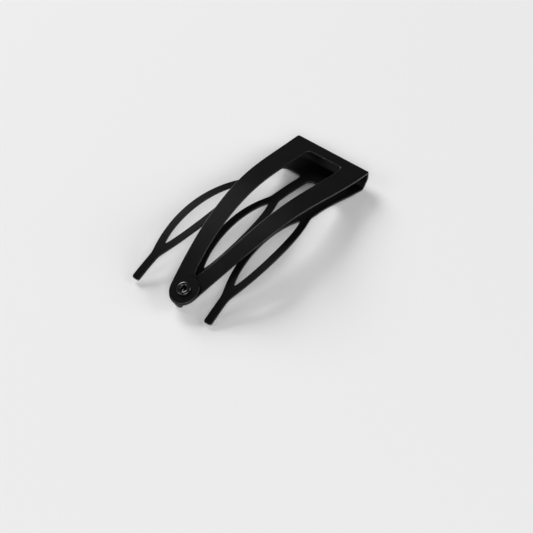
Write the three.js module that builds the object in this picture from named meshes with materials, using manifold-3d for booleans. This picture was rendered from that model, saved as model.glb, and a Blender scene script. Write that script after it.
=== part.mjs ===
// Three-prong snap hair clip in spring steel: a triangular top frame folds over at the rear into a
// comb of three leaf-shaped prongs, and a tubular eyelet pins the lapped ends of the frame's arms.
// The sheet is cut at the lines where it bends in use, so each moving stretch is a mesh of its own.
// Millimetres and degrees. X runs from the rear fold to the tips, Y across, Z up.
import * as THREE from "three";
import { mergeVertices } from "three/addons/utils/BufferGeometryUtils.js";
import Module from "manifold-3d";

const wasm = await Module();
wasm.setup();

// ---------------------------------------------------------------- driving dimensions
// Sheet and fold
const SHEET = 0.45; // thickness of the spring steel
const FOLD_WIDTH = 18.5; // across the fold, shared by the frame and the comb
const FOLD_CORNER = 1.1; // radius of the rear corners
const UPPER_BEND = 0.7; // mid-sheet radius where the frame turns down
const LOWER_BEND = 0.8; // mid-sheet radius where the comb turns forward
const WEB_LENGTH = 2.5; // straight wall between the two bends
const WEB_LEAN = 49.5; // the wall's slope below the horizontal
const FRAME_BEND_ARC = 28; // part of the upper bend that stays with the frame
const WEB_BEND_ARC = 22; // part of the upper bend that stays with the web

// Top frame, in side view
const BAR_SLOPE = 10.5; // the rear bar rises forwards
const BAR_STRAIGHT = 3.4; // flat length of the bar before the arch begins
const FRAME_REACH = 51.95; // rear of the fold to the front of the tip disc
const NOSE_HEIGHT = 1.9; // mid-sheet height at the front of the disc
const NOSE_SLOPE = 20.7; // the arch falls this steeply at the disc
const ARCH_REAR_SHARE = 0.2772; // the rear slope carries this share of the reach into the arch
const ARCH_NOSE_SHARE = 0.5525; // and the nose slope this share

// Top frame, in plan
const BAR_DEPTH = 3.3; // rear edge to the opening
const DISC_RADIUS = 3.0;
const DISC_INSET = 3.6; // front of the frame back to the eyelet
const ARM_BULGE = 9.0; // half width that the outer edge leans towards at mid length
const OPENING_HALF = 4.4; // half width of the opening at the bar
const OPENING_CORNER = 1.0;
const OPENING_BULGE = [0.705, 4.0]; // share of the opening's length, and half width there
const OPENING_FRONT = 3.6; // eyelet back to the opening's front
const OPENING_FRONT_HALF = 0.3;
const LAP_GAP = 0.1; // between the two lapped arm ends
const LAP_LENGTH = 9.95; // the arms lie one over the other from here to the front of the frame
const LAP_RUN = 16; // length over which they part in height
const LAP_END = FRAME_REACH - LAP_LENGTH;
const LAP_START = LAP_END - LAP_RUN;

// Eyelet
const EYELET_BORE = 0.65;
const EYELET_WALL = 0.22;
const EYELET_FLANGE = 1.45;
const EYELET_FLARE = 1.3;
const EYELET_RIM = 0.3; // thickness of flange and flare
const FIT_GAP = 0.15; // eyelet to sheet, all round

// Comb, in side view
const PLATE_SLOPE = 18; // the comb leaves the lower bend rising forwards
const TIP_SLOPE = 27.9; // the prongs come down to their tips
const TIP_SETBACK = 1.35; // front of the frame back to the prong tips
const COMB_REACH = FRAME_REACH - TIP_SETBACK;
const COMB_REAR_SHARE = 0.3953; // shares of the comb's reach, as on the frame's arch
const COMB_TIP_SHARE = 0.34;

// Comb, in plan
const SLOT_REAR = 8.65; // rear of the fold to the slots between the prongs
const SLOT_CORNER = 1.3;
const ROOT_LENGTH = 2.35; // rear of the slots to where the prongs begin
const PLATE_FRONT = SLOT_REAR + ROOT_LENGTH;
const ROOT_GAP = 0.3;
const ROOT_HALF = 1.07; // prong strip before it splits
const LEAF_START = 19.4;
const STEM_LENGTH = 5.6; // from the end of the leaf to the tip
const LEAF_END = COMB_REACH - STEM_LENGTH;
const LEAF_RISE = 2.89; // how far the leaf's outer edge is pulled out sideways
const LEAF_PULL = 7.7; // over this length at both ends
const EYE_START = 21.7; // the opening inside the leaf
const CROTCH_LENGTH = 3; // from the end of the eye to the end of the leaf
const EYE_END = LEAF_END - CROTCH_LENGTH;
const EYE_HALF = 1.55;
const EYE_TIP_HALF = 0.12;
const STEM_HALF = 0.9;
const TIP_CORNER = 0.5;
const PRONGS = [
  { name: "prong_left", side: -7.8, splay: -4.8, lift: 0.7 },
  { name: "prong_middle", side: -0.9, splay: 1.2, lift: 0 },
  { name: "prong_right", side: 7.45, splay: 0, lift: 0.3 },
];

// Fineness of the faceted solids
const ARCH_STEPS = 22;
const BEND_STEPS = 6;
const EDGE_STEPS = 14;
const ROUND_STEPS = 28;

// ---------------------------------------------------------------- small helpers
const rad = THREE.MathUtils.degToRad;
const vec = (x, y) => new THREE.Vector2(x, y);
const along = (angle) => vec(Math.cos(rad(angle)), Math.sin(rad(angle)));
const leftOf = (v) => vec(-v.y, v.x);

function solidFrom(geometry) {
  const bare = geometry.clone();
  bare.deleteAttribute("normal");
  bare.deleteAttribute("uv");
  const merged = mergeVertices(bare, 1e-4);
  return new wasm.Manifold(
    new wasm.Mesh({
      numProp: 3,
      vertProperties: merged.attributes.position.array,
      triVerts: new Uint32Array(merged.index.array),
    }),
  );
}

function meshFrom(name, solid, material) {
  const { vertProperties, triVerts } = solid.getMesh();
  const geometry = new THREE.BufferGeometry();
  geometry.setAttribute("position", new THREE.BufferAttribute(vertProperties, 3));
  geometry.setIndex(new THREE.BufferAttribute(triVerts, 1));
  geometry.computeVertexNormals();
  const mesh = new THREE.Mesh(geometry, material);
  mesh.name = name;
  return mesh;
}

// A plan outline carried straight up, taller than any piece.
function planPrism(outline) {
  const tall = 30;
  const geometry = new THREE.ExtrudeGeometry(outline, {
    depth: tall, bevelEnabled: false, curveSegments: EDGE_STEPS,
  });
  return solidFrom(geometry.translate(0, 0, -tall / 3));
}

// The sheet seen from the side, half its thickness each side of a line of points, carried across.
function sideStrip(line) {
  const wide = 40;
  const offset = (sign) => line.map((p, i) => {
    const before = line[Math.max(i - 1, 0)];
    const after = line[Math.min(i + 1, line.length - 1)];
    const normal = leftOf(after.clone().sub(before).normalize());
    return p.clone().addScaledVector(normal, (sign * SHEET) / 2);
  });
  const outline = new THREE.Shape([...offset(1), ...offset(-1).reverse()]);
  const geometry = new THREE.ExtrudeGeometry(outline, { depth: wide, bevelEnabled: false });
  return solidFrom(geometry.rotateX(Math.PI / 2).translate(0, wide / 2, 0));
}

const bentSheet = (outline, line) => planPrism(outline).intersect(sideStrip(line));

function arcPoints(centre, radius, from, to, steps) {
  return Array.from({ length: steps + 1 }, (_, i) =>
    centre.clone().addScaledVector(along(from + ((to - from) * i) / steps), radius));
}

// ---------------------------------------------------------------- side view of the sheet
// The lower bend stands on Z = 0; the web leans back from it and the upper bend caps the web.
const webDirection = along(-WEB_LEAN);
const upperCentreFromLower = leftOf(webDirection).multiplyScalar(UPPER_BEND - LOWER_BEND)
  .addScaledVector(webDirection, -WEB_LENGTH);
const lowerCentre = vec(UPPER_BEND + SHEET / 2 - upperCentreFromLower.x, LOWER_BEND + SHEET / 2);
const upperCentre = lowerCentre.clone().add(upperCentreFromLower);
const WEB_START = 270 - WEB_LEAN; // angle on both bends where the web meets them

const barAngle = 90 + BAR_SLOPE;
const barStart = upperCentre.clone().addScaledVector(along(barAngle), UPPER_BEND);
const archStart = barStart.clone().addScaledVector(along(BAR_SLOPE), BAR_STRAIGHT);
const frameArch = new THREE.CubicBezierCurve(
  archStart,
  archStart.clone().addScaledVector(along(BAR_SLOPE), ARCH_REAR_SHARE * FRAME_REACH),
  vec(FRAME_REACH, NOSE_HEIGHT).addScaledVector(along(180 - NOSE_SLOPE), ARCH_NOSE_SHARE * FRAME_REACH),
  vec(FRAME_REACH, NOSE_HEIGHT),
);

const combStart = lowerCentre.clone().addScaledVector(along(PLATE_SLOPE - 90), LOWER_BEND);
const tipPoint = vec(COMB_REACH, SHEET / 2 / Math.cos(rad(TIP_SLOPE)));
const combArch = new THREE.CubicBezierCurve(
  combStart,
  combStart.clone().addScaledVector(along(PLATE_SLOPE), COMB_REAR_SHARE * COMB_REACH),
  tipPoint.clone().addScaledVector(along(180 - TIP_SLOPE), COMB_TIP_SHARE * COMB_REACH),
  tipPoint,
);

// Carries a line on past its end, so that the plan outline and not the strip sets the length.
function extended(points, length) {
  const last = points[points.length - 1];
  const direction = last.clone().sub(points[points.length - 2]).normalize();
  return [...points, last.clone().addScaledVector(direction, length)];
}

// Where the arch line is at a given X: its height and its slope.
function stationAt(arch, x) {
  let low = 0;
  let high = 1;
  for (let i = 0; i < 40; i += 1) {
    const middle = (low + high) / 2;
    if (arch.getPoint(middle).x < x) low = middle;
    else high = middle;
  }
  const tangent = arch.getTangent(low);
  return { height: arch.getPoint(low).y, slope: Math.atan2(tangent.y, tangent.x) };
}

// ---------------------------------------------------------------- top frame
const eyeletX = FRAME_REACH - DISC_INSET;
const layerShift = (SHEET + LAP_GAP) / 2;

// One arm's side view: it moves up or down by half the lap before it reaches the disc.
function armLine(sign) {
  const bend = arcPoints(upperCentre, UPPER_BEND, barAngle + FRAME_BEND_ARC, barAngle, BEND_STEPS);
  const arch = extended(frameArch.getPoints(ARCH_STEPS), 3);
  return [...bend, ...arch].map((p) => {
    const share = THREE.MathUtils.smoothstep(p.x, LAP_START, LAP_END);
    return vec(p.x, p.y + sign * layerShift * share);
  });
}

// One half of the frame in plan, on the +Y side for side = 1: half the bar, the arm and its disc.
function armOutline(side) {
  const half = FOLD_WIDTH / 2;
  const overlap = 0.5; // the two halves of the bar run into each other
  const openingEnd = eyeletX - OPENING_FRONT;
  const bulgeX = BAR_DEPTH + OPENING_BULGE[0] * (openingEnd - BAR_DEPTH);
  const tangentAngle = 78; // the outer edge runs into the disc without a corner
  const touch = vec(eyeletX, 0).addScaledVector(along(tangentAngle), DISC_RADIUS);
  const neckAngle = -130; // far side of the disc, where it turns back to the arm
  const outline = new THREE.Path();
  outline.moveTo(0, -overlap);
  outline.lineTo(0, half - FOLD_CORNER);
  outline.quadraticCurveTo(0, half, FOLD_CORNER, half);
  outline.quadraticCurveTo(touch.x / 2, ARM_BULGE, touch.x, touch.y);
  outline.absarc(eyeletX, 0, DISC_RADIUS, rad(tangentAngle), rad(neckAngle), true);
  outline.lineTo(openingEnd, OPENING_FRONT_HALF);
  outline.quadraticCurveTo(bulgeX, OPENING_BULGE[1], BAR_DEPTH + OPENING_CORNER, OPENING_HALF);
  outline.quadraticCurveTo(BAR_DEPTH, OPENING_HALF, BAR_DEPTH, OPENING_HALF - OPENING_CORNER);
  outline.lineTo(BAR_DEPTH, -overlap);
  const points = outline.getPoints(EDGE_STEPS).map((p) => vec(p.x, p.y * side));
  return new THREE.Shape(points);
}

const eyeletStation = stationAt(frameArch, eyeletX);

// Turns a piece made upright about the origin onto the eyelet's axis, square to the disc.
function placeAtEyelet(geometry) {
  return geometry.rotateX(Math.PI / 2)
    .rotateY(-eyeletStation.slope)
    .translate(eyeletX, 0, eyeletStation.height);
}

function topFrame() {
  const leftArm = bentSheet(armOutline(-1), armLine(1));
  const rightArm = bentSheet(armOutline(1), armLine(-1));
  const radius = EYELET_BORE + EYELET_WALL + FIT_GAP;
  const hole = placeAtEyelet(new THREE.CylinderGeometry(radius, radius, 6, ROUND_STEPS));
  return leftArm.add(rightArm).subtract(solidFrom(hole));
}

function tipEyelet() {
  const barrel = EYELET_BORE + EYELET_WALL;
  const under = SHEET + LAP_GAP / 2 + FIT_GAP; // half the height between flange and flare
  const top = under + EYELET_RIM;
  const crown = 0.6 * EYELET_RIM; // height over which the rims round off
  const profile = [
    vec(EYELET_BORE, -top + crown), vec(EYELET_BORE + crown, -top), vec(EYELET_FLARE - crown, -top),
    vec(EYELET_FLARE, -top + crown), vec(EYELET_FLARE, -under), vec(barrel, -under),
    vec(barrel, under), vec(EYELET_FLANGE, under), vec(EYELET_FLANGE, top - crown),
    vec(EYELET_FLANGE - crown, top), vec(EYELET_BORE + crown, top), vec(EYELET_BORE, top - crown),
    vec(EYELET_BORE, -top + crown),
  ];
  return solidFrom(placeAtEyelet(new THREE.LatheGeometry(profile, ROUND_STEPS)));
}

// ---------------------------------------------------------------- comb
// The web and the plate in plan: its sides and the rear ends of its slots meet the prongs' edges.
function combOutline() {
  const half = FOLD_WIDTH / 2;
  const front = PLATE_FRONT;
  const outline = new THREE.Shape();
  outline.moveTo(0, -half + FOLD_CORNER);
  outline.quadraticCurveTo(0, -half, FOLD_CORNER, -half);
  outline.lineTo(SLOT_REAR / 2, -half);
  outline.lineTo(front, PRONGS[0].side - ROOT_HALF);
  for (const i of [0, 1]) {
    const low = PRONGS[i].side + ROOT_HALF;
    const high = PRONGS[i + 1].side - ROOT_HALF;
    outline.lineTo(front, low);
    outline.lineTo(SLOT_REAR + SLOT_CORNER, low);
    outline.quadraticCurveTo(SLOT_REAR, low, SLOT_REAR, low + SLOT_CORNER);
    outline.lineTo(SLOT_REAR, high - SLOT_CORNER);
    outline.quadraticCurveTo(SLOT_REAR, high, SLOT_REAR + SLOT_CORNER, high);
    outline.lineTo(front, high);
  }
  outline.lineTo(front, PRONGS[2].side + ROOT_HALF);
  outline.lineTo(SLOT_REAR / 2, half);
  outline.lineTo(FOLD_CORNER, half);
  outline.quadraticCurveTo(0, half, 0, half - FOLD_CORNER);
  outline.closePath();
  return outline;
}

function combBase() {
  const cap = arcPoints(upperCentre, UPPER_BEND, WEB_START - WEB_BEND_ARC, WEB_START, BEND_STEPS);
  const bend = arcPoints(lowerCentre, LOWER_BEND, WEB_START, PLATE_SLOPE + 270, BEND_STEPS);
  return bentSheet(combOutline(), [...cap, ...bend, ...combArch.getPoints(ARCH_STEPS).slice(1)]);
}

// A prong in plan about its own axis: strip, leaf, stem and rounded tip, with the eye cut out.
function prongOutline(reach) {
  const outer = new THREE.Path();
  outer.moveTo(PLATE_FRONT + ROOT_GAP, ROOT_HALF);
  outer.lineTo(LEAF_START, ROOT_HALF);
  outer.bezierCurveTo(
    LEAF_START + LEAF_PULL, ROOT_HALF + LEAF_RISE,
    LEAF_END - LEAF_PULL, STEM_HALF + LEAF_RISE,
    LEAF_END, STEM_HALF,
  );
  outer.lineTo(reach - TIP_CORNER, STEM_HALF);
  outer.quadraticCurveTo(reach, STEM_HALF, reach, STEM_HALF - TIP_CORNER);
  const edge = outer.getPoints(EDGE_STEPS);
  const mirrored = edge.map((p) => vec(p.x, -p.y)).reverse();
  const outline = new THREE.Shape([...edge, ...mirrored].reverse());

  const eyeReach = (EYE_END - EYE_START) / 4;
  const eyePull = (EYE_HALF * 4) / 3 - EYE_TIP_HALF / 3;
  const eye = new THREE.Path();
  eye.moveTo(EYE_START, EYE_TIP_HALF);
  eye.bezierCurveTo(
    EYE_START + eyeReach, eyePull, EYE_END - eyeReach, eyePull, EYE_END, EYE_TIP_HALF);
  const eyeEdge = eye.getPoints(EDGE_STEPS);
  outline.holes.push(new THREE.Path([...eyeEdge, ...eyeEdge.map((p) => vec(p.x, -p.y)).reverse()]));
  return outline;
}

// Each prong turns about the middle of its root gap, sideways by its splay and up by its lift.
const rootX = PLATE_FRONT + ROOT_GAP / 2;
const rootHeight = stationAt(combArch, rootX).height;

function prongGroup({ name, side, splay, lift }, material) {
  const reach = rootX + (COMB_REACH - rootX) / Math.cos(rad(splay));
  const line = extended(combArch.getPoints(ARCH_STEPS), 2);
  const solid = bentSheet(prongOutline(reach), line).translate([-rootX, 0, -rootHeight]);
  const pivot = new THREE.Group();
  pivot.rotation.set(0, -rad(lift), rad(splay), "ZYX");
  pivot.position.set(rootX, side, rootHeight);
  pivot.add(meshFrom(name, solid, material));
  return pivot;
}

// ---------------------------------------------------------------- assembly
const blackSatin = new THREE.MeshStandardMaterial({
  color: 0x1a1819, roughness: 0.42, metalness: 0.25,
});
const blackEyelet = new THREE.MeshStandardMaterial({
  color: 0x121113, roughness: 0.28, metalness: 0.45,
});

const clip = new THREE.Group();
clip.add(meshFrom("top_frame", topFrame(), blackSatin));
clip.add(meshFrom("tip_eyelet", tipEyelet(), blackEyelet));
clip.add(meshFrom("comb_base", combBase(), blackSatin));
for (const prong of PRONGS) clip.add(prongGroup(prong, blackSatin));

// The clip stands on Z = 0 with the middle of its box over the origin.
const box = new THREE.Box3().setFromObject(clip, true);
const middle = box.getCenter(new THREE.Vector3());
clip.position.set(-middle.x, -middle.y, -box.min.z);

export default clip;
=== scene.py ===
# %% [markdown]
# # A three-prong snap hair clip in black coated spring steel
#
# The real clip is one stamped blank of thin steel, folded at the rear, and one small tubular
# eyelet. This lesson builds both as surfaces worked out with numpy, and gives them their satin
# black coat. Everything is in metres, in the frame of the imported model: +X runs from the rear
# fold to the prong tips, +Y towards the right prong and +Z up.

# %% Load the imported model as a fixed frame
import math

import bmesh
import bpy
import numpy as np
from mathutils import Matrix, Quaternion, Vector


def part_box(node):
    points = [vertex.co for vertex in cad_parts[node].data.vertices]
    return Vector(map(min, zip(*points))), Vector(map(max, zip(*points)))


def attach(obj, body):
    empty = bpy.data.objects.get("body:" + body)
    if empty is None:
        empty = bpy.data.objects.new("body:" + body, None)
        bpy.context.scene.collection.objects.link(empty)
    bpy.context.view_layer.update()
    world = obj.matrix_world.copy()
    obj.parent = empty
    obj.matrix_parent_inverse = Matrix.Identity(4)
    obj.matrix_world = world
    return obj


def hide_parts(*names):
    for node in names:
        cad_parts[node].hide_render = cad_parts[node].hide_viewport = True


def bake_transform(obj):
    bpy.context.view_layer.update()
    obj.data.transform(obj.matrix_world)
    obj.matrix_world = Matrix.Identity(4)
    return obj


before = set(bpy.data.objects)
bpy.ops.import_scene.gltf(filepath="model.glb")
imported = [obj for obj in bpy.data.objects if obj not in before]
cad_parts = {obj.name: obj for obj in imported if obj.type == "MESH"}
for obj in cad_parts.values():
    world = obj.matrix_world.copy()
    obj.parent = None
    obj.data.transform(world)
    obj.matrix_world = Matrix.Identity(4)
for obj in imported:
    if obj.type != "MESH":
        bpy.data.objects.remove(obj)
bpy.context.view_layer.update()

# %% [markdown]
# ## Sizes
# A sheet-metal maker writes down few numbers: the sheet, the bends, the side view and the plan.
# The rest follows from them. They could be typed where they are used, but named once they can be
# changed in one place, and the same name can shape two pieces that have to meet.

# %% Driving sizes
MM = 0.001
SHEET = 0.45 * MM
EDGE_ROUND = 0.11 * MM  # tumbling rounds every cut edge by this much
FOLD_WIDTH = 18.5 * MM
FOLD_CORNER = 1.1 * MM
UPPER_BEND = 0.7 * MM  # mid-sheet radius, frame to web
LOWER_BEND = 0.8 * MM  # mid-sheet radius, web to comb
WEB_LENGTH = 2.5 * MM
WEB_LEAN = 49.5  # degrees below the horizontal

BAR_SLOPE = 10.5
BAR_STRAIGHT = 3.4 * MM
FRAME_REACH = 51.95 * MM  # where the frame's side line ends; the disc stops a little before it
NOSE_HEIGHT = 1.9 * MM
NOSE_SLOPE = 20.7
ARCH_REAR_SHARE = 0.2772  # of the reach: how far the rear slope carries into the arch
ARCH_NOSE_SHARE = 0.5525
BAR_DEPTH = 3.3 * MM
DISC_RADIUS = 3.0 * MM
DISC_INSET = 3.6 * MM
ARM_BULGE = 9.0 * MM
OPENING_HALF = 4.4 * MM
OPENING_CORNER = 1.0 * MM
OPENING_BULGE = (0.705, 4.0 * MM)
OPENING_FRONT = 3.6 * MM
OPENING_FRONT_HALF = 0.3 * MM
LAP_GAP = 0.04 * MM
LAP_LENGTH = 9.95 * MM  # the arms lie one over the other up to the front of the frame
LAP_RUN = 16 * MM  # length over which they part in height
LAP_END = FRAME_REACH - LAP_LENGTH
LAP_START = LAP_END - LAP_RUN

PLATE_SLOPE = 18
TIP_SLOPE = 27.9
TIP_SETBACK = 1.35 * MM
COMB_REACH = FRAME_REACH - TIP_SETBACK
COMB_REAR_SHARE = 0.3953
COMB_TIP_SHARE = 0.34
SLOT_REAR = 8.65 * MM
SLOT_CORNER = 1.3 * MM
ROOT_X = SLOT_REAR + 2.5 * MM  # the prongs flex about this line
ROOT_HALF = 1.07 * MM
WAIST = (3.3 * MM, 16 * MM)  # the plate draws in to its outer prongs between these
LEAF_START = 19.4 * MM
STEM_LENGTH = 5.6 * MM
LEAF_END = COMB_REACH - STEM_LENGTH
LEAF_RISE = 2.89 * MM
LEAF_PULL = 7.7 * MM
EYE_START = 21.7 * MM
CROTCH_LENGTH = 3 * MM
EYE_END = LEAF_END - CROTCH_LENGTH
EYE_HALF = 1.55 * MM
EYE_TIP_HALF = 0.12 * MM
STEM_HALF = 0.9 * MM
TIP_CORNER = 0.5 * MM
PRONGS = [
    {"name": "left", "side": -7.8 * MM, "splay": -4.8, "lift": 0.7},
    {"name": "middle", "side": -0.9 * MM, "splay": 1.2, "lift": 0.0},
    {"name": "right", "side": 7.45 * MM, "splay": 0.0, "lift": 0.3},
]

EYELET_BORE = 0.65 * MM
EYELET_BARREL = 0.87 * MM
EYELET_FLANGE = 1.45 * MM
EYELET_FLARE = 1.3 * MM
EYELET_RIM = 0.3 * MM
HOLE_GAP = 0.03 * MM  # hole in the disc to the eyelet's barrel

# The rear fold lies at x = 0 in the sizes above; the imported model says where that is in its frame.
frame_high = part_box("top_frame")[1]
comb_low, comb_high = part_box("comb_base")
EYELET_X = FRAME_REACH - DISC_INSET
ORIGIN = np.array([frame_high.x - EYELET_X - DISC_RADIUS, (comb_low.y + comb_high.y) / 2, 0.0])
print("rear fold at x and middle at y, in mm:", (ORIGIN[:2] / MM).round(2).tolist())

# %% [markdown]
# ## The side view
# Seen from the side the sheet is a single line: bar, bend, web, bend, comb. Two long arches carry
# it to the tips. Each arch is a cubic Bezier curve, because a clip-maker bends to a slope at each
# end and lets the steel choose the middle, and that is exactly what the curve's two handles say.


# %% Curves
def along(degrees):
    """Unit vectors at one or many angles in a plane: (cos a, sin a)."""
    angle = np.radians(degrees)
    return np.stack([np.cos(angle), np.sin(angle)], -1)


def bezier(points, t):
    """The point at t on a Bezier curve: neighbours are blended again and again until one is left."""
    level = [np.asarray(p, float) for p in points]
    t = np.asarray(t, float)[..., None]
    while len(level) > 1:
        level = [a + (b - a) * t for a, b in zip(level[:-1], level[1:])]
    return level[0]


def smoothstep(low, high, value):
    """0 below low, 1 above high, and 3t^2 - 2t^3 between them."""
    t = np.clip((value - low) / (high - low), 0, 1)
    return t * t * (3 - 2 * t)


def arch_height(arch, x):
    """The arch's height at x: Newton's method finds the t at which the curve stands over x."""
    tiny = 1e-5
    t = (x - arch[0][0]) / (arch[-1][0] - arch[0][0])
    for _ in range(8):
        here, ahead = bezier(arch, t), bezier(arch, t + tiny)
        t = t - (here[..., 0] - x) * tiny / (ahead[..., 0] - here[..., 0])
    return bezier(arch, t)[..., 1]


print("a smoothstep is half way up at", smoothstep(0, 1, 0.5))

# %% [markdown]
# The two bends are arcs that meet the straight web at a tangent, so their centres follow from the
# radii, the web's length and its lean. A sheet could be drawn point by point, but then a new
# radius would break it. Each surface below is a function of two plan parameters, and every point
# of a piece is read off one.

# %% Bends and arches
web_direction = along(-WEB_LEAN)
web_left = np.array([-web_direction[1], web_direction[0]])
upper_from_lower = web_left * (UPPER_BEND - LOWER_BEND) - web_direction * WEB_LENGTH
lower_centre = np.array([UPPER_BEND + SHEET / 2 - upper_from_lower[0], LOWER_BEND + SHEET / 2])
upper_centre = lower_centre + upper_from_lower

bar_start = upper_centre + along(90 + BAR_SLOPE) * UPPER_BEND
arch_start = bar_start + along(BAR_SLOPE) * BAR_STRAIGHT
nose = np.array([FRAME_REACH, NOSE_HEIGHT])
frame_arch = [
    arch_start,
    arch_start + along(BAR_SLOPE) * ARCH_REAR_SHARE * FRAME_REACH,
    nose + along(180 - NOSE_SLOPE) * ARCH_NOSE_SHARE * FRAME_REACH,
    nose,
]
comb_start = lower_centre + along(PLATE_SLOPE - 90) * LOWER_BEND
tip = np.array([COMB_REACH, SHEET / 2 / math.cos(math.radians(TIP_SLOPE))])
comb_arch = [
    comb_start,
    comb_start + along(PLATE_SLOPE) * COMB_REAR_SHARE * COMB_REACH,
    tip + along(180 - TIP_SLOPE) * COMB_TIP_SHARE * COMB_REACH,
    tip,
]


def frame_surface(layer):
    """The frame's mid-sheet surface as a function of (x, y). layer +1 laps over, -1 laps under."""

    def surface(plan):
        x, y = plan[..., 0], plan[..., 1]
        arched = arch_height(frame_arch, np.maximum(x, arch_start[0]))
        straight = arch_start[1] + (x - arch_start[0]) * math.tan(math.radians(BAR_SLOPE))
        z = np.where(x < arch_start[0], straight, arched)
        z = z + layer * (SHEET + LAP_GAP) / 2 * smoothstep(LAP_START, LAP_END, x)
        return np.stack([x, y, z], -1)

    return surface


def prong_surface(prong):
    """A prong's mid-sheet surface as a function of (along, across) its own middle line.
    The strip turns about its root, sideways by the splay and up by the lift, over a short bend."""

    def surface(plan):
        along_line, across = plan[..., 0], plan[..., 1]
        share = smoothstep(SLOT_REAR, 2 * ROOT_X - SLOT_REAR, along_line)
        turn, rise = np.radians(prong["splay"]) * share, np.radians(prong["lift"]) * share
        past = along_line - ROOT_X
        x = ROOT_X + past * np.cos(turn) - across * np.sin(turn)
        y = prong["side"] + past * np.sin(turn) + across * np.cos(turn)
        z = arch_height(comb_arch, along_line) + past * np.tan(rise)
        return np.stack([x, y, z], -1)

    return surface


def bent_surface(centre_line):
    """A sheet bent along a side-view line, as a function of (distance along the line, y).
    One more step is added in line at each end, so the surface has a slope at its very ends too."""
    before = 2 * centre_line[:1] - centre_line[1:2]
    after = 2 * centre_line[-1:] - centre_line[-2:-1]
    line = np.concatenate([before, centre_line, after])
    steps = np.linalg.norm(np.diff(line, axis=0), axis=1)
    distance = np.concatenate([[0], np.cumsum(steps)]) - steps[0]

    def surface(plan):
        x = np.interp(plan[..., 0], distance, line[:, 0])
        z = np.interp(plan[..., 0], distance, line[:, 1])
        return np.stack([x, plan[..., 1], z], -1)

    return surface, distance[1:-1]


for title, arch in (("frame", frame_arch), ("comb", comb_arch)):
    steps = np.diff(bezier(arch, np.linspace(0, 1, 200)), axis=0)
    print(title, "arch is", round(np.linalg.norm(steps, axis=1).sum() / MM, 2), "mm long")

# %% [markdown]
# ## From a surface to a sheet of metal
# A surface has no thickness. The Solidify modifier could give it one, but it leaves square edges,
# and here some edges have to stay square (where two pieces meet) while all cut edges are rounded.
# So the sheet is worked out directly: the middle surface is pushed out by half the thickness both
# ways, and a rim with a small round above and below closes it. Rounded rims are what catches the
# light.


# %% Helpers that turn plan curves into sheet
RIM_STEPS = 3
HOLD = 0.06 * MM  # a narrow first strip keeps the flat face flat right up to its rim
COLUMNS = 9


def unit(vectors):
    """Vectors scaled to length 1; a zero vector stays zero."""
    length = np.linalg.norm(vectors, axis=-1, keepdims=True)
    return vectors / np.where(length < 1e-12, 1, length)


def outward(edge, inside, fixed=()):
    """Unit normals of a plan curve, on the side away from the inside points. fixed overrides some."""
    run = np.gradient(edge, axis=0)
    normal = unit(np.stack([-run[:, 1], run[:, 0]], -1))
    normal *= np.where(np.sum(normal * (edge - inside), -1, keepdims=True) < 0, -1, 1)
    for index, direction in fixed:
        normal[index] = direction
    return normal


def axes_at(surface, plan):
    """The surface's two tangents and its unit normal, from a tiny step each way along each parameter."""
    tiny = 1e-7
    first = (surface(plan + [tiny, 0]) - surface(plan - [tiny, 0])) / (2 * tiny)
    second = (surface(plan + [0, tiny]) - surface(plan - [0, tiny])) / (2 * tiny)
    return surface(plan), first, second, unit(np.cross(first, second))


def faces_of(surface, plan):
    """Both faces of the sheet over a plan grid: the middle surface moved half a sheet along +-normal."""
    middle, _, _, normal = axes_at(surface, plan)
    abrasion_and_highlight_mask = np.zeros(plan.shape[:2])
    return [(middle + normal * sign * SHEET / 2, abrasion_and_highlight_mask, None) for sign in (1, -1)]


def rim_of(surface, edge, away, keep=None):
    """The rounded rim along a cut edge: quarter circle, straight wall, quarter circle.
    At angle a the point is (-r + r cos a) outwards and (h - r + r sin a) up, then mirrored below."""
    middle, first, second, normal = axes_at(surface, edge)
    out = unit(first * away[:, :1] + second * away[:, 1:])
    angle = np.linspace(np.pi / 2, 0, RIM_STEPS + 1)
    outwards = EDGE_ROUND * (np.cos(angle) - 1)
    upwards = SHEET / 2 - EDGE_ROUND + EDGE_ROUND * np.sin(angle)
    outwards = np.concatenate([outwards, outwards[::-1]])
    upwards = np.concatenate([upwards, -upwards[::-1]])
    grid = middle[:, None] + out[:, None] * outwards[:, None] + normal[:, None] * upwards[:, None]
    # Rims get 1 and their ends 0: the coat paints the rims lighter, partly as abrasion of the coat and
    # partly as a painted highlight.
    abrasion_and_highlight_mask = np.ones(grid.shape[:2])
    abrasion_and_highlight_mask[:, [0, -1]] = 0
    return (grid, abrasion_and_highlight_mask, keep)


def drawn_in(surface, edge, away):
    """The plan edge moved inwards by the rim's radius, where the flat face ends."""
    _, first, second, _ = axes_at(surface, edge)
    length = np.linalg.norm(first * away[:, :1] + second * away[:, 1:], axis=-1, keepdims=True)
    return edge - away * EDGE_ROUND / np.where(length < 1e-9, 1, length)


def cap_of(surface, row):
    """The square cut across the sheet where one piece meets the next."""
    middle, _, _, normal = axes_at(surface, row)
    grid = np.stack([middle + normal * SHEET / 2, middle - normal * SHEET / 2], 1)
    return (grid, np.zeros(grid.shape[:2]), None)


def end_of_rim(surface, edge, away, inset):
    """The small square end of a rim at a cut across the sheet."""
    section = rim_of(surface, edge[None], away[None])[0][0]
    middle, _, _, normal = axes_at(surface, inset)
    upper = np.arange(len(section))[:, None] < len(section) / 2
    flat = middle + normal * np.where(upper, SHEET / 2, -SHEET / 2)
    grid = np.stack([section, flat], 1)
    return (grid, np.zeros(grid.shape[:2]), None)


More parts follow.
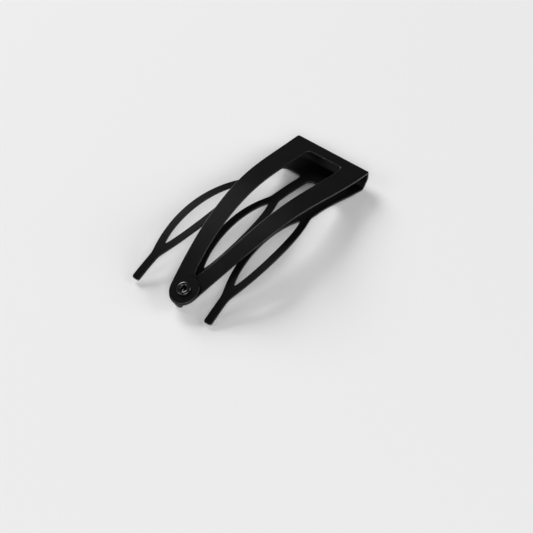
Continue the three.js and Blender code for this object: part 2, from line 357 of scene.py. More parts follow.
def rows_between(inner, outer, columns=COLUMNS):
    """Straight rows from an inner edge to an outer edge, with a narrow strip held at both ends."""
    width = np.linalg.norm(outer - inner, axis=-1)
    hold = np.minimum(HOLD, width / 6)[:, None]
    share = np.linspace(0, 1, columns - 2)[None]
    inside = hold + (width[:, None] - 2 * hold) * share
    place = np.concatenate([0 * hold, inside, width[:, None]], 1) / np.maximum(width, 1e-12)[:, None]
    return inner[:, None] + (outer - inner)[:, None] * place[..., None]


def near(free):
    """For each row, whether a free stretch of edge lies just before or just after it."""
    padded = np.concatenate([[False], free, [False]])
    return (padded[:-1] | padded[1:])[:, None]


print("cut edges rounded by", round(EDGE_ROUND / MM, 2), "mm of a", round(SHEET / MM, 2), "mm sheet")

# %% [markdown]
# A piece is made of several grids: two faces, rims and square ends. They share their border
# points, so merging points that coincide closes the shell. Joining objects and bridging loops by
# hand would do the same, but it would have to be done again after every change of size.

# %% Joining patches into one closed piece
SHARP_ANGLE = math.radians(50)
MERGE_DISTANCE = 2e-6


def make_piece(name, patches):
    """Every grid of points becomes quads; points that coincide merge, and faces turn outwards."""
    points, abrasion_and_highlight_mask, quads, first = [], [], [], 0
    for grid, abrasion_and_highlight, keep in patches:
        rows, columns = grid.shape[:2]
        corner = first + np.arange(rows - 1)[:, None] * columns + np.arange(columns - 1)
        cells = np.stack([corner, corner + 1, corner + columns + 1, corner + columns], -1)
        quads.append((cells if keep is None else cells[keep]).reshape(-1, 4))
        points.append(grid.reshape(-1, 3))
        abrasion_and_highlight_mask.append(abrasion_and_highlight.reshape(-1))
        first += rows * columns
    mesh = bpy.data.meshes.new(name)
    mesh.from_pydata((np.concatenate(points) + ORIGIN).tolist(), [], np.concatenate(quads).tolist())
    # The per-point mask that paints lighter rims: partly abrasion of the coat, partly a painted
    # highlight.
    edge_abrasion_and_highlight = mesh.attributes.new("edge_abrasion_and_highlight", "FLOAT", "POINT")
    edge_abrasion_and_highlight.data.foreach_set("value", np.concatenate(abrasion_and_highlight_mask).astype(np.float32))
    shell = bmesh.new()
    shell.from_mesh(mesh)
    bmesh.ops.remove_doubles(shell, verts=shell.verts, dist=MERGE_DISTANCE)
    loose = [v for v in shell.verts if not v.link_faces]
    bmesh.ops.delete(shell, geom=loose, context="VERTS")
    bmesh.ops.recalc_face_normals(shell, faces=shell.faces)
    volume = shell.calc_volume(signed=True)
    shell.to_mesh(mesh)
    shell.free()
    edge_of_corner = np.zeros(len(mesh.loops), np.int32)
    mesh.loops.foreach_get("edge_index", edge_of_corner)
    faces_on_edge = np.bincount(edge_of_corner, minlength=len(mesh.edges))
    open_edges = int(np.count_nonzero(faces_on_edge != 2))
    mesh.shade_smooth()
    mesh.set_sharp_from_angle(angle=SHARP_ANGLE)
    piece = bpy.data.objects.new(name, mesh)
    bpy.context.scene.collection.objects.link(piece)
    print(name, len(mesh.polygons), "faces,", open_edges, "open edges,", round(volume / MM**3, 2), "mm3")
    return piece


# %% [markdown]
# ## The rear fold
# The frame and the comb are the two ends of one blank, folded twice. The fold is the sheet carried
# along its side-view line; its two rear corners are rounded in the flat blank, so the width shrinks
# towards the fold. The upper part belongs to the frame, the lower part to the comb.


# %% The fold's line and width
def arc(centre, radius, start, end, steps):
    """Points on an arc in the side view, from one angle to another."""
    return centre + radius * along(np.linspace(start, end, steps + 1))


def fold_half(x):
    """Half the blank's width at x: a rounded corner, half - c (1 - sqrt(x / c))^2, then straight."""
    corner = FOLD_CORNER * (1 - np.sqrt(np.clip(x / FOLD_CORNER, 0, 1))) ** 2
    return FOLD_WIDTH / 2 - corner


web_angle = 270 - WEB_LEAN
bar_line = np.linspace([FOLD_CORNER, 0], [bar_start[0], 0], 4)
bar_line[:, 1] = bar_start[1] + (bar_line[:, 0] - bar_start[0]) * math.tan(math.radians(BAR_SLOPE))
upper_arc = arc(upper_centre, UPPER_BEND, 90 + BAR_SLOPE, web_angle, 20)
web_end = lower_centre + LOWER_BEND * along(web_angle)
web_line = np.linspace(upper_arc[-1], web_end, 7)
fold_line = np.concatenate([bar_line, upper_arc[1:], web_line[1:]])


def fold_patches(row_fractions):
    """The bar's rear edge, the upper bend and the web. Columns keep their share of the half width."""
    surface, distance = bent_surface(fold_line)
    half = fold_half(fold_line[:, 0])
    edge = np.stack([distance, half], -1)
    middle_line = np.stack([distance, 0 * half], -1)
    away = np.tile([0.0, 1.0], (len(edge), 1))
    inset = drawn_in(surface, edge, away)
    patches = []
    for side in (1, -1):
        flip = np.array([1, side])
        grid = middle_line[:, None] + (inset - middle_line)[:, None] * row_fractions[None, :, None]
        patches += faces_of(surface, grid * flip)
        patches.append(rim_of(surface, edge * flip, away * flip))
        patches.append(cap_of(surface, grid[-1] * flip))
        patches.append(end_of_rim(surface, edge[-1] * flip, away[-1] * flip, inset[-1] * flip))
    return patches


# %% [markdown]
# ## The top frame
# The frame is a bar with two arms that meet at the tip. Cutting a triangle out of a plate with a
# boolean would leave long thin triangles; instead each half is a band of straight rows that run
# from the opening's edge to the outer edge, all the way from the bar's middle round the corner to
# the tip.

# %% The frame's plan
CORNER_RUN = 3.2 * MM  # length of outer edge shared out over the opening's corner
TOUCH_ANGLE = 78  # the outer edge runs into the disc here
NECK_ANGLE = 230  # and the inner edge here
opening_end = EYELET_X - OPENING_FRONT
disc_centre = np.array([EYELET_X, 0.0])
touch = disc_centre + DISC_RADIUS * along(TOUCH_ANGLE)
neck = disc_centre + DISC_RADIUS * along(NECK_ANGLE)
outer_curve = [(FOLD_CORNER, FOLD_WIDTH / 2), (touch[0] / 2, ARM_BULGE), touch]
opening_curve = [
    (BAR_DEPTH + OPENING_CORNER, OPENING_HALF),
    (BAR_DEPTH + OPENING_BULGE[0] * (opening_end - BAR_DEPTH), OPENING_BULGE[1]),
    (opening_end, OPENING_FRONT_HALF),
]


def on_outer_edge(x):
    """Points of the arm's outer edge at x, read off the dense curve."""
    dense = bezier(outer_curve, np.linspace(0, 1, 400))
    return np.stack([x, np.interp(x, dense[:, 0], dense[:, 1])], -1)


def straight(start, end, steps):
    """Evenly spaced points on a straight plan line, both ends included."""
    return np.linspace(np.asarray(start, float), np.asarray(end, float), steps + 1)


bar_steps, corner_steps, arm_steps, neck_steps = 7, 10, 60, 10
half_width = FOLD_WIDTH / 2
corner_centre = np.array([BAR_DEPTH + OPENING_CORNER, OPENING_HALF - OPENING_CORNER])
inner_edge = np.concatenate([
    straight((BAR_DEPTH, 0), (BAR_DEPTH, OPENING_HALF - OPENING_CORNER), bar_steps),
    arc(corner_centre, OPENING_CORNER, 180, 90, corner_steps)[1:],
    bezier(opening_curve, np.linspace(0, 1, arm_steps + 1))[1:],
    straight((opening_end, OPENING_FRONT_HALF), neck, neck_steps)[1:],
])
arm_x = inner_edge[bar_steps + corner_steps : -neck_steps, 0]
corner_end = FOLD_CORNER + CORNER_RUN
neck_start = opening_end + 0.9 * MM
outer_x = corner_end + (arm_x - arm_x[0]) * (neck_start - corner_end) / (arm_x[-1] - arm_x[0])
outer_edge = np.concatenate([
    straight((FOLD_CORNER, 0), (FOLD_CORNER, half_width - CORNER_RUN), bar_steps),
    straight((FOLD_CORNER, half_width - CORNER_RUN), (FOLD_CORNER, half_width), corner_steps // 2)[1:],
    on_outer_edge(np.linspace(FOLD_CORNER, corner_end, corner_steps // 2 + 1)[1:]),
    on_outer_edge(outer_x)[1:],
    on_outer_edge(np.linspace(neck_start, touch[0], neck_steps + 1))[1:],
])
corner_row = bar_steps + corner_steps // 2
print("each half of the frame has", len(inner_edge), "rows")


# %% [markdown]
# The left arm ends in the disc on top and the right arm in the disc below, and both halves use
# the same rows. Only the layer differs, which lifts one end and lowers the other by half the lap.

# %% Bar, arms and lapped discs
def frame_half(side, layer):
    """One half of the frame; the left half (side -1) ends in the disc that lies on top."""
    surface, flip = frame_surface(layer), np.array([1, side])
    inner_away = outward(inner_edge, outer_edge, fixed=[(0, (1, 0)), (-1, along(NECK_ANGLE))])
    outer_away = outward(outer_edge, inner_edge, fixed=[(corner_row, (0, 1)), (-1, along(TOUCH_ANGLE))])
    free = np.arange(len(outer_edge) - 1) >= corner_row
    inner_inset = drawn_in(surface, inner_edge, inner_away)
    outer_inset = np.where(near(free), drawn_in(surface, outer_edge, outer_away), outer_edge)
    grid = rows_between(inner_inset, outer_inset)

    # The last rows turn from straight into the disc's own arc.
    share = np.linalg.norm(grid[-1] - grid[-1, 0], axis=-1) / np.linalg.norm(grid[-1, -1] - grid[-1, 0])
    angles = NECK_ANGLE + (TOUCH_ANGLE - NECK_ANGLE) * share
    ring = disc_centre + DISC_RADIUS * along(angles)
    turned = (ring - grid[-1]) * np.isin(np.arange(COLUMNS), [0, COLUMNS - 1], invert=True)[:, None]
    steps = np.linspace(0, 1, neck_steps + 1)[:, None, None] ** 2
    grid[-neck_steps - 1 :] += steps * turned

    patches = faces_of(surface, grid * flip)
    patches.append(rim_of(surface, inner_edge * flip, inner_away * flip))
    patches.append(rim_of(surface, outer_edge * flip, outer_away * flip, keep=free))
    return patches + disc_patches(surface, flip, angles)


def disc_patches(surface, flip, neck_angles):
    """The disc round the eyelet: rows from the hole out to its edge, at every angle."""
    free_angles = np.linspace(TOUCH_ANGLE, NECK_ANGLE - 360, 40)
    angles = np.concatenate([neck_angles, free_angles[1:]])
    radial = along(angles)
    ring, hole = disc_centre + DISC_RADIUS * radial, disc_centre + (EYELET_BARREL + HOLE_GAP) * radial
    free = np.arange(len(angles) - 1) >= len(neck_angles) - 1
    drawn = near(free)
    drawn[0] = True
    ring_inset = np.where(drawn, drawn_in(surface, ring, radial), ring)
    grid = rows_between(drawn_in(surface, hole, -radial), ring_inset)
    patches = faces_of(surface, grid * flip)
    patches.append(rim_of(surface, hole * flip, -radial * flip))
    patches.append(rim_of(surface, ring * flip, radial * flip, keep=free))
    return patches


bar_rows = outer_edge[: corner_row + 1, 1]
fractions = bar_rows / (half_width - EDGE_ROUND)
fractions[-1] = 1
spring_frame = make_piece(
    "spring_frame",
    frame_half(1, -1) + frame_half(-1, 1) + fold_patches(fractions),
)
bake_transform(spring_frame)
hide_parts("top_frame")

# %% [markdown]
# ## The comb's plate
# Under the bar the sheet turns forwards again into a short plate. Two slots with round corners
# start in it, and between them the roots of the three prongs. The plate is one bent grid; at its
# front edge the columns know whether they meet a prong, where the cut is square, or face a slot,
# where it is rounded.


# %% Lower bend and plate
def waist(side_reach, x):
    """The plate's half width at x on the side whose outermost prong reaches side_reach."""
    return fold_half(x) - (half_width - side_reach) * smoothstep(*WAIST, x)


left_reach = -PRONGS[0]["side"] + ROOT_HALF
right_reach = PRONGS[2]["side"] + ROOT_HALF
lower_arc = arc(lower_centre, LOWER_BEND, web_angle, 270 + PLATE_SLOPE, 14)
plate_x = np.concatenate([np.linspace(comb_start[0], SLOT_REAR - 0.25 * MM, 22)[1:], [SLOT_REAR]])
plate_line = np.concatenate([lower_arc, np.stack([plate_x, arch_height(comb_arch, plate_x)], -1)])


def plate_patches():
    """Rows along the bent line, columns across it, with the two slots' rear edges left free."""
    surface, distance = bent_surface(plate_line)
    x = plate_line[:, 0]
    patches, insets = [], []
    for side, reach in ((-1, left_reach), (1, right_reach)):
        edge = np.stack([distance, side * waist(reach, x)], -1)
        away = outward(edge, edge * [1, 0], fixed=[(0, (0, side)), (-1, (0, side))])
        inset = drawn_in(surface, edge, away)
        patches.append(rim_of(surface, edge, away))
        for end in (0, -1):
            patches.append(end_of_rim(surface, edge[end], away[end], inset[end]))
        insets.append(inset)

    root = ROOT_HALF + SLOT_CORNER
    left, middle, right = (prong["side"] for prong in PRONGS)
    stops = [insets[0][-1, 1], left + root, middle - root, middle + root, right - root, insets[1][-1, 1]]
    spans = [np.linspace(a, b, 9) for a, b in zip(stops[:-1], stops[1:])]
    across = np.concatenate([spans[0]] + [span[1:] for span in spans[1:]])
    share = (across - stops[0]) / (stops[-1] - stops[0])
    grid = insets[0][:, None] + (insets[1] - insets[0])[:, None] * share[None, :, None]
    for slot in (1, 3):
        columns = np.arange(slot * 8, slot * 8 + 9)
        edge = grid[-1, columns].copy()
        away = np.tile([1.0, 0.0], (len(columns), 1))
        grid[-1, columns] = drawn_in(surface, edge, away)
        patches.append(rim_of(surface, edge, away))
        for end in (0, -1):
            patches.append(end_of_rim(surface, edge[end], away[end], grid[-1, columns[end]]))
    for root_span in (0, 2, 4):
        patches.append(cap_of(surface, grid[-1, root_span * 8 : root_span * 8 + 9]))
    patches.append(cap_of(surface, grid[0]))
    return patches + faces_of(surface, grid)


comb_plate = make_piece("comb_plate", plate_patches())
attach(comb_plate, "comb")
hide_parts("comb_base")

# %% [markdown]
# ## The three prongs
# Each prong is a strip that splits round a leaf-shaped eye and joins again in a straight stem.
# Because both halves are alike, one half is worked out and mirrored across the prong's own middle
# line; where there is no eye the two halves simply merge.


# %% One prong
def leaf_half_width(along_line):
    """Half the prong's width: strip, leaf and stem, with the corners between them eased a little."""
    leaf = bezier(
        [
            (LEAF_START, ROOT_HALF),
            (LEAF_START + LEAF_PULL, ROOT_HALF + LEAF_RISE),
            (LEAF_END - LEAF_PULL, STEM_HALF + LEAF_RISE),
            (LEAF_END, STEM_HALF),
        ],
        np.linspace(0, 1, 300),
    )
    easing = np.linspace(-0.7 * MM, 0.7 * MM, 15)
    return np.interp(along_line[:, None] + easing, leaf[:, 0], leaf[:, 1]).mean(axis=1)


def eye_half_width(along_line):
    """Half the eye's opening, a cubic arch whose two pointed ends are rounded by a small circle."""
    reach = (EYE_END - EYE_START) / 4
    pull = EYE_HALF * 4 / 3 - EYE_TIP_HALF / 3
    arch = bezier(
        [
            (EYE_START, EYE_TIP_HALF),
            (EYE_START + reach, pull),
            (EYE_END - reach, pull),
            (EYE_END, EYE_TIP_HALF),
        ],
        np.linspace(0, 1, 300),
    )
    from_end = np.minimum(along_line - EYE_START, EYE_END - along_line) / EYE_TIP_HALF
    rounding = np.sqrt(1 - (1 - np.clip(from_end, 0, 1)) ** 2)
    return np.interp(along_line, arch[:, 0], arch[:, 1]) * rounding


TIP_ABRASION_AND_HIGHLIGHT = 2.4  # the tips rub on everything, so their coat is thinner than on other edges; the stronger mask also paints a highlight on their lit ends


def prong_half(prong, side, plate_side):
    """One half of a prong. plate_side tells whether its root runs into the plate's outer side."""
    surface, flip = prong_surface(prong), np.array([1, side])
    reach = ROOT_X + (COMB_REACH - ROOT_X) / math.cos(math.radians(prong["splay"]))
    tip_start = reach - TIP_CORNER
    root = SLOT_REAR + SLOT_CORNER * (1 - np.cos(np.linspace(0, np.pi / 2, 10)))
    strip = np.linspace(root[-1], EYE_START - 0.35 * MM, 30)
    eye = EYE_START + (EYE_END - EYE_START) * (1 - np.cos(np.linspace(0, np.pi, 61))) / 2
    stem = np.linspace(EYE_END + 0.35 * MM, tip_start, 18)
    line = np.concatenate([root, strip[1:], eye, stem])
    eye_rows = np.arange(len(line) - 1)
    eye_first = len(root) + len(strip) - 1
    eye_last = eye_first + len(eye) - 1
    open_rows = (eye_rows >= eye_first) & (eye_rows < eye_last)

    half = leaf_half_width(line)
    if plate_side:
        half = half + (half_width - abs(prong["side"]) - ROOT_HALF) * (1 - smoothstep(*WAIST, line))
    else:
        into = np.clip((line - SLOT_REAR) / SLOT_CORNER, 0, 1)
        half = half + SLOT_CORNER * (1 - np.sqrt(1 - (1 - into) ** 2))
    outer = np.stack([line, half], -1)
    tip_centre = np.array([tip_start, half[-1] - TIP_CORNER])
    front = straight((reach, half[-1] - TIP_CORNER), (reach, 0), 4)
    outer = np.concatenate([outer, arc(tip_centre, TIP_CORNER, 90, 0, 6)[1:], front[1:]])
    inner_half = np.zeros(len(line))
    inner_half[eye_first : eye_last + 1] = eye_half_width(eye)
    inner = np.stack([line, inner_half], -1)
    inner = np.concatenate([inner, np.tile(inner[-1], (len(outer) - len(inner), 1))])
    open_rows = np.concatenate([open_rows, np.zeros(len(outer) - len(line), bool)])

    start = (0, 1) if plate_side else (1, 0)
    outer_away = outward(outer, inner, fixed=[(0, start), (-1, (1, 0))])
    inner_away = outward(inner, outer, fixed=[(eye_first, (1, 0)), (eye_last, (-1, 0))])
    outer_inset = drawn_in(surface, outer, outer_away)
    inner_inset = np.where(near(open_rows), drawn_in(surface, inner, inner_away), inner)
    grid = rows_between(inner_inset, outer_inset)
    patches = faces_of(surface, grid * flip)
    rim, abrasion_and_highlight_mask, keep = rim_of(surface, outer * flip, outer_away * flip)
    # Tip rims get a stronger mask: a light grey end, partly chipped coat and partly a painted highlight
    # on the lit cut ends.
    abrasion_and_highlight_mask[outer[:, 0] > reach - TIP_CORNER / 2, 1:-1] = TIP_ABRASION_AND_HIGHLIGHT
    patches.append((rim, abrasion_and_highlight_mask, keep))
    patches.append(rim_of(surface, inner * flip, inner_away * flip, keep=open_rows))
    patches.append(cap_of(surface, grid[0] * flip))
    patches.append(end_of_rim(surface, outer[0] * flip, outer_away[0] * flip, outer_inset[0] * flip))
    return patches


# %% [markdown]
# The prongs share one pattern and differ in place, splay and lift. A real prong bends over a short
# length at its root when it flexes; the two ends of that length are worked out below but not used,
# and nothing blends the steel between the plate's body and the prong's own.

# %% All three prongs
ROOT_BEND = 2.3 * MM  # a real prong flexes over this length each side of its root
prong_pieces = []
for prong in PRONGS:
    name = prong["name"]
    halves = prong_half(prong, -1, name == "left") + prong_half(prong, 1, name == "right")
    piece = make_piece(prong["name"] + "_leaf_prong", halves)
    root_place = ORIGIN + [ROOT_X, prong["side"], arch_height(comb_arch, ROOT_X)]
    bend_start, bend_end = root_place - [ROOT_BEND, 0, 0], root_place + [ROOT_BEND, 0, 0]
    tuple(bend_start)
    tuple(bend_end)
    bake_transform(piece)
    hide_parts("prong_" + prong["name"])
    prong_pieces.append(piece)

# %% [markdown]
# ## The eyelet
# A tubular eyelet is pushed through both lapped ends, and its two rims are rolled over. It is a
# surface of revolution, so its section is written down once and turned round the axis. The rolled
# rims are superellipses, between an ellipse and a box, as pressed metal is.


# %% Eyelet
def rolled_rim(inner_radius, outer_radius, height, sense):
    """Half a superellipse from the bore over the crown to the rim's outer edge."""
    angle = np.linspace(np.pi, 0, 13)
    middle, reach = (inner_radius + outer_radius) / 2, (outer_radius - inner_radius) / 2
    radius = middle + reach * np.sign(np.cos(angle)) * np.abs(np.cos(angle)) ** 0.8
    return np.stack([radius, sense * (height + EYELET_RIM * np.sin(angle) ** 0.8)], -1)


def eyelet_section():
    """The closed section as (radius, height along the axis), from the bore round to the bore."""
    seat = SHEET + LAP_GAP / 2 + 0.02 * MM
    top = rolled_rim(EYELET_BORE, EYELET_FLANGE, seat + 0.04 * MM, 1)
    bottom = rolled_rim(EYELET_BORE, EYELET_FLARE, seat + 0.04 * MM, -1)[::-1]
    tuck = 0.08 * MM
    upper_seat = [(EYELET_FLANGE - tuck, seat), (EYELET_BARREL + tuck, seat)]
    lower_seat = [(EYELET_BARREL + tuck, -seat), (EYELET_FLARE - tuck, -seat)]
    barrel = [(EYELET_BARREL, seat - tuck), (EYELET_BARREL, -seat + tuck)]
    bore = straight(bottom[-1], top[0], 6)[1:]
    return np.concatenate([top, upper_seat, barrel, lower_seat, bottom, bore])


def eyelet_patches(turns=72):
    """The section turned about the disc's normal through the middle of the lapped discs."""
    centre, first, _, normal = axes_at(frame_surface(0), disc_centre)
    forward, sideways = unit(first), np.array([0.0, 1.0, 0.0])
    turn = np.linspace(0, 2 * np.pi, turns + 1)
    spoke = np.cos(turn)[:, None] * forward + np.sin(turn)[:, None] * sideways
    section = eyelet_section()
    grid = centre + spoke[:, None] * section[:, :1] + normal * section[:, 1:]
    return [(grid, np.zeros(grid.shape[:2]), None)]


eyelet = make_piece("rolled_eyelet", eyelet_patches())
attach(eyelet, "frame")
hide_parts("tip_eyelet")

# %% [markdown]
# ## The black coat
# The clip is dipped or sprayed satin black. Such a coat is never one flat colour: it has a fine
# orange-peel surface, small changes in gloss, and it is thinner and smoother on the rounded
# edges. The rims are also painted a lighter colour and the tips a light grey: partly abrasion of
# the coat, partly a painted highlight on edges that catch the light. One node group makes those
# masks for both materials; the shader itself stays in each material.


# %% A node group for a thin paint coat
def link(tree, source, target):
    """Connects an output to an input in a node tree."""
    tree.links.new(source, target)


def coat_group():
    """Puts out colour, roughness and normal for a sprayed coat, from noise at three scales."""
    group = bpy.data.node_groups.new("sprayed_coat", "ShaderNodeTree")
    sockets = [
        ("Colour", "NodeSocketColor", (0.01, 0.01, 0.01, 1)),
        # The two lighter colours are partly abrasion of the coat and partly a painted highlight on rims
        # and tips.
        ("Rim Tint And Highlight Colour", "NodeSocketColor", (0.03, 0.03, 0.03, 1)),
        ("Bare Metal And Highlight Colour", "NodeSocketColor", (0.4, 0.39, 0.38, 1)),
        ("Roughness", "NodeSocketFloat", 0.4),
        ("Gloss Change", "NodeSocketFloat", 0.06),
        ("Edge Abrasion And Highlight", "NodeSocketFloat", 0.5),
        ("Specular", "NodeSocketFloat", 0.2),
        ("Edge Specular", "NodeSocketFloat", 0.8),
        ("Peel Size", "NodeSocketFloat", 2500.0),
        ("Peel Height", "NodeSocketFloat", 0.15),
    ]
    for name, kind, value in sockets:
        group.interface.new_socket(name, in_out="INPUT", socket_type=kind).default_value = value
    results = [
        ("Colour", "NodeSocketColor"),
        ("Roughness", "NodeSocketFloat"),
        ("Specular", "NodeSocketFloat"),
        ("Normal", "NodeSocketVector"),
    ]
    for name, kind in results:
        group.interface.new_socket(name, in_out="OUTPUT", socket_type=kind)
    nodes = group.nodes
    given, result = nodes.new("NodeGroupInput"), nodes.new("NodeGroupOutput")
    place = nodes.new("ShaderNodeTexCoord")

    def noise(scale, detail):
        made = nodes.new("ShaderNodeTexNoise")
        made.inputs["Detail"].default_value = detail
        link(group, place.outputs["Object"], made.inputs["Vector"])
        if isinstance(scale, float):
            made.inputs["Scale"].default_value = scale
        else:
            link(group, scale, made.inputs["Scale"])
        return made.outputs["Fac"]

    def math_node(operation, first, second):
        made = nodes.new("ShaderNodeMath")
        made.operation = operation
        for socket, value in zip(made.inputs, (first, second)):
            if isinstance(value, (int, float)):
                socket.default_value = value
            else:
                link(group, value, socket)
        return made.outputs[0]

    abrasion_and_highlight_mask = nodes.new("ShaderNodeAttribute")
    abrasion_and_highlight_mask.attribute_name = "edge_abrasion_and_highlight"
    patchy = math_node("MULTIPLY", noise(900.0, 3.0), abrasion_and_highlight_mask.outputs["Fac"])
    abrasion_and_highlight = math_node("MULTIPLY", patchy, given.outputs["Edge Abrasion And Highlight"])
    cloudy = math_node("SUBTRACT", noise(220.0, 4.0), 0.5)

    # Rims turn towards the lighter edge colour: partly abrasion of the coat, partly a painted highlight.
    tint = nodes.new("ShaderNodeMix")
    tint.data_type = "RGBA"
    link(group, abrasion_and_highlight, tint.inputs["Factor"])
    link(group, given.outputs["Colour"], tint.inputs["A"])
    link(group, given.outputs["Rim Tint And Highlight Colour"], tint.inputs["B"])
    # Where the mask is strong, mostly on the tips, light grey shows: partly uncoated steel, partly a
    # painted highlight on lit cut ends.
    bare_metal_and_glint = math_node("SUBTRACT", math_node("MULTIPLY", abrasion_and_highlight_mask.outputs["Fac"], noise(1500.0, 2.0)), 0.6)
    abraded_and_lit = nodes.new("ShaderNodeMix")
    abraded_and_lit.data_type = "RGBA"
    link(group, bare_metal_and_glint, abraded_and_lit.inputs["Factor"])
    link(group, tint.outputs["Result"], abraded_and_lit.inputs["A"])
    link(group, given.outputs["Bare Metal And Highlight Colour"], abraded_and_lit.inputs["B"])
    shade = nodes.new("ShaderNodeHueSaturation")
    link(group, abraded_and_lit.outputs["Result"], shade.inputs["Color"])
    link(group, math_node("ADD", math_node("MULTIPLY", cloudy, 0.5), 1.0), shade.inputs["Value"])
    link(group, shade.outputs["Color"], result.inputs["Colour"])

    change = math_node("MULTIPLY", cloudy, given.outputs["Gloss Change"])
    smoother = math_node("MULTIPLY", abrasion_and_highlight, -0.12)
    rough = math_node("ADD", math_node("ADD", given.outputs["Roughness"], change), smoother)
    link(group, rough, result.inputs["Roughness"])

    extra = math_node("SUBTRACT", given.outputs["Edge Specular"], given.outputs["Specular"])
    edge = math_node("MINIMUM", abrasion_and_highlight_mask.outputs["Fac"], 1.0)
    shine = math_node("ADD", given.outputs["Specular"], math_node("MULTIPLY", extra, edge))
    link(group, shine, result.inputs["Specular"])

    bump = nodes.new("ShaderNodeBump")
    bump.inputs["Distance"].default_value = 0.00001
    link(group, given.outputs["Peel Height"], bump.inputs["Strength"])
    link(group, noise(given.outputs["Peel Size"], 2.0), bump.inputs["Height"])
    link(group, bump.outputs["Normal"], result.inputs["Normal"])
    return group


coat = coat_group()
print("coat group has", len(coat.nodes), "nodes")


# %% [markdown]
# The sheet has a satin coat and the eyelet a smoother one. One function builds both, and only the
# numbers differ, so a change of the coat reaches both pieces.

# %% The two finishes
def coated(name, settings):
    """A Principled BSDF fed by the coat group. A specular level that is the same all over the piece
    is set on the shader itself; only one that rises on the edges is linked."""
    material = bpy.data.materials.new(name)
    material.use_nodes = True
    tree = material.node_tree
    shader = tree.nodes["Principled BSDF"]
    layer = tree.nodes.new("ShaderNodeGroup")
    layer.node_tree = coat
    for key, value in settings.items():
        layer.inputs[key].default_value = value
    link(tree, layer.outputs["Colour"], shader.inputs["Base Color"])
    link(tree, layer.outputs["Roughness"], shader.inputs["Roughness"])
    shader.inputs["Specular IOR Level"].default_value = settings["Specular"]
    if "Edge Specular" in settings:
        link(tree, layer.outputs["Specular"], shader.inputs["Specular IOR Level"])
    link(tree, layer.outputs["Normal"], shader.inputs["Normal"])
    return material


satin_black = coated(
    "satin_black_coat",
    {
        "Colour": (0.0022, 0.002, 0.0021, 1),
        # Lighter rim colour: partly abrasion of the coat, partly a painted highlight.
        "Rim Tint And Highlight Colour": (0.02, 0.019, 0.0195, 1),
        "Roughness": 0.4,
        "Gloss Change": 0.1,
        "Edge Abrasion And Highlight": 0.7,
        "Peel Size": 3200.0,
        "Peel Height": 0.35,
        "Specular": 0.12,
        "Edge Specular": 0.42,
    },
)
eyelet_black = coated(
    "smooth_black_eyelet",
    {
        "Colour": (0.004, 0.0038, 0.0038, 1),
        "Rim Tint And Highlight Colour": (0.04, 0.04, 0.04, 1),
        "Roughness": 0.22,
        "Gloss Change": 0.08,
        "Edge Abrasion And Highlight": 0.4,
        "Peel Size": 4200.0,
        "Peel Height": 0.15,
        "Specular": 0.8,
    },
)
for piece in [spring_frame, comb_plate, *prong_pieces]:
    piece.data.materials.append(satin_black)
eyelet.data.materials.append(eyelet_black)
print("finishes:", satin_black.name, "and", eyelet_black.name)

# %% [markdown]
# ## Floor, light and camera
# A black object shows mostly what it reflects. Four soft area lights, a pale floor and a dim world
# give it something to reflect. A small light would be simpler, but its hard highlight would look
# like chrome.

# %% Floor
FLOOR_SIZE = 4.0
floor_mesh = bpy.data.meshes.new("floor")
corners = np.array([[-1, -1, 0], [1, -1, 0], [1, 1, 0], [-1, 1, 0]]) * FLOOR_SIZE / 2
floor_mesh.from_pydata(corners.tolist(), [], [(0, 1, 2, 3)])
floor = bpy.data.objects.new("floor", floor_mesh)
bpy.context.scene.collection.objects.link(floor)
paper = bpy.data.materials.new("pale_paper")
paper.use_nodes = True
paper.node_tree.nodes["Principled BSDF"].inputs["Base Color"].default_value = (0.85, 0.85, 0.85, 1)
paper.node_tree.nodes["Principled BSDF"].inputs["Roughness"].default_value = 0.9
floor_mesh.materials.append(paper)
print("floor is", FLOOR_SIZE, "m wide")


# %% [markdown]
# The key comes low from the left and rear and makes the bright side of the arms. The fill stands
# on the camera's side. Two weaker lights pick out the bar's edge and the right arm.

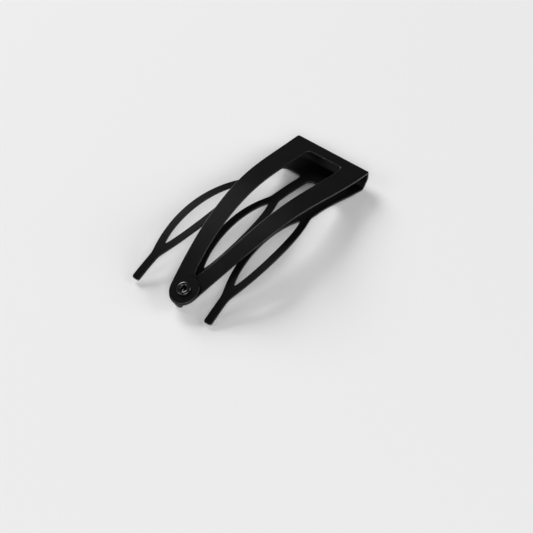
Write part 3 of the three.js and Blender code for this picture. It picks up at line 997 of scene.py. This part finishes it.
# %% Lights
def soft_light(name, place, aim, size, power):
    """A square area light at a place, turned to face an aim point."""
    light = bpy.data.lights.new(name, "AREA")
    light.size, light.energy = size, power
    lamp = bpy.data.objects.new(name, light)
    lamp.location = place
    lamp.rotation_mode = "QUATERNION"
    lamp.rotation_quaternion = (Vector(aim) - Vector(place)).to_track_quat("-Z", "Y")
    bpy.context.scene.collection.objects.link(lamp)


soft_light("key", (-0.4, -0.95, 0.54), (0, 0, 0), 0.55, 11.3)
soft_light("fill", (0.6, 0.5, 0.7), (0, 0, 0), 0.6, 5.8)
soft_light("front_left", (0.6, -0.35, 0.42), (0, 0, 0), 0.35, 1.0)
soft_light("rear_right", (-0.5, 0.7, 0.42), (0, 0, 0), 0.5, 3.4)
world = bpy.data.worlds.new("studio")
world.use_nodes = True
world.node_tree.nodes["Background"].inputs["Color"].default_value = (1, 1, 1, 1)
world.node_tree.nodes["Background"].inputs["Strength"].default_value = 0.06
bpy.context.scene.world = world
bpy.context.scene.view_settings.view_transform = "Standard"
print("lights:", sorted(light.name for light in bpy.data.lights))

# %% [markdown]
# A long lens some 300 mm away keeps the clip's proportions almost free of perspective.

# %% Camera
CAMERA_PLACE = np.array([186.2, 134.4, 221.3]) * MM
CAMERA_AIM = np.array([31.55, 6.86, 0.0]) * MM
CAMERA_ROLL = -1.12
lens = bpy.data.cameras.new("camera")
lens.lens, lens.sensor_width = 101.3, 36
lens.clip_start, lens.clip_end = 0.01, 10
camera = bpy.data.objects.new("camera", lens)
camera.location = CAMERA_PLACE + ORIGIN
camera.rotation_mode = "QUATERNION"
looking = Vector(CAMERA_AIM - CAMERA_PLACE).to_track_quat("-Z", "Y")
camera.rotation_quaternion = looking @ Quaternion((0, 0, 1), math.radians(CAMERA_ROLL))
bpy.context.scene.collection.objects.link(camera)
bpy.context.scene.camera = camera
distance_to_aim = float(np.linalg.norm(CAMERA_PLACE - CAMERA_AIM)) / MM
print("camera stands", round(distance_to_aim), "mm from its aim")
